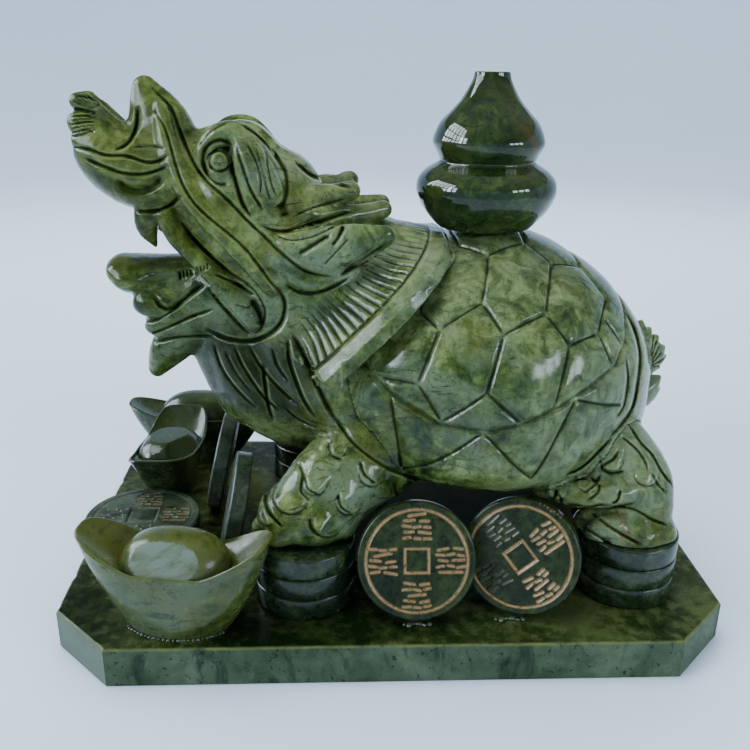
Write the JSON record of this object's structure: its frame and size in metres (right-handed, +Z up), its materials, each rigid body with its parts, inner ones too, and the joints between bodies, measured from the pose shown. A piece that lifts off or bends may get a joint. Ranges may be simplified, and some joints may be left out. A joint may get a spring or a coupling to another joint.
{
  "type": "dragon turtle figure",
  "caption": "Carved green stone dragon turtle standing on stacked coins on a chamfered plinth, with a gourd on its shell, loose coins and boat-shaped ingots.",
  "frame": {"origin": "middle of the plinth's underside, on the surface the ornament stands on", "axes": "+Z up, +X towards the tail so that the head looks along -X, +Y away from the side of the figure that faces the picture's camera"},
  "size_m": [0.304, 0.203, 0.2449],
  "materials": {
    "figure": "polished olive green jade with light and dark mottling",
    "gourd": "polished dark green jade",
    "coin_stacks": "polished dark green jade",
    "coins": "polished dark green jade with gilded engraving",
    "ingots": "polished olive to grey green jade",
    "plinth": "dark green jade, polished on top, fine-ground sides with dark streaks"
  },
  "bodies": {
    "root": {"plinth": "plinth", "coin_stack_front_near": "coin_stacks", "coin_stack_rear_near": "coin_stacks", "coin_stack_front_far": "coin_stacks", "coin_stack_rear_far": "coin_stacks", "dragon_turtle": "figure", "gourd": "gourd", "coin_front": "coins", "coin_front_tilted": "coins", "coin_standing_a": "coins", "coin_standing_b": "coins", "coin_flat": "coins", "ingot_front": "ingots", "ingot_middle": "ingots", "ingot_back": "ingots"}
  },
  "joints": []
}
